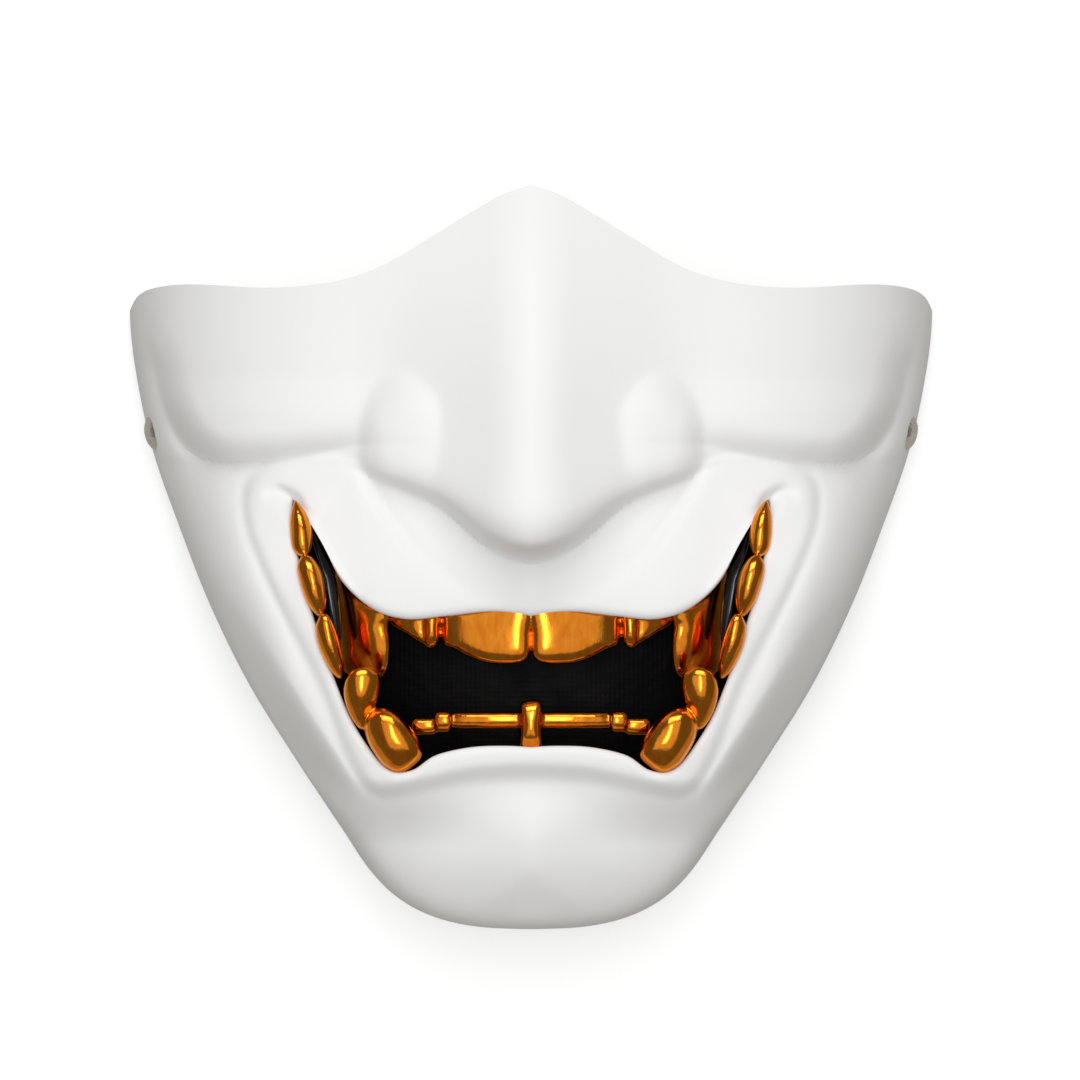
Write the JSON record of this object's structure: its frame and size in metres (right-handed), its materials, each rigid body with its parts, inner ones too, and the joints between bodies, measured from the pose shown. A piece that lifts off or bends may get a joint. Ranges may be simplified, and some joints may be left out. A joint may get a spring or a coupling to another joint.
{
  "type": "samurai face guard",
  "caption": "White moulded half mask of a snarling samurai face, with gold plated teeth in an open mouth backed by a dark screen, and a metal strap stud on each side.",
  "frame": {"origin": "middle of the mask's box, on the surface that its rim rests on", "axes": "+X towards the wearer's left, +Y from the chin to the nose bridge, +Z out of the face"},
  "size_m": [0.1898, 0.1666, 0.0839],
  "materials": {
    "white_plastic": "satin",
    "gold_plating": "polished",
    "black_screen": "gloss",
    "stud_metal": "polished"
  },
  "bodies": {
    "root": {"mask_shell": "white_plastic", "upper_teeth": "gold_plating", "lower_teeth": "gold_plating", "mouth_screen": "black_screen", "strap_stud_left": "stud_metal", "strap_stud_right": "stud_metal"}
  },
  "joints": []
}
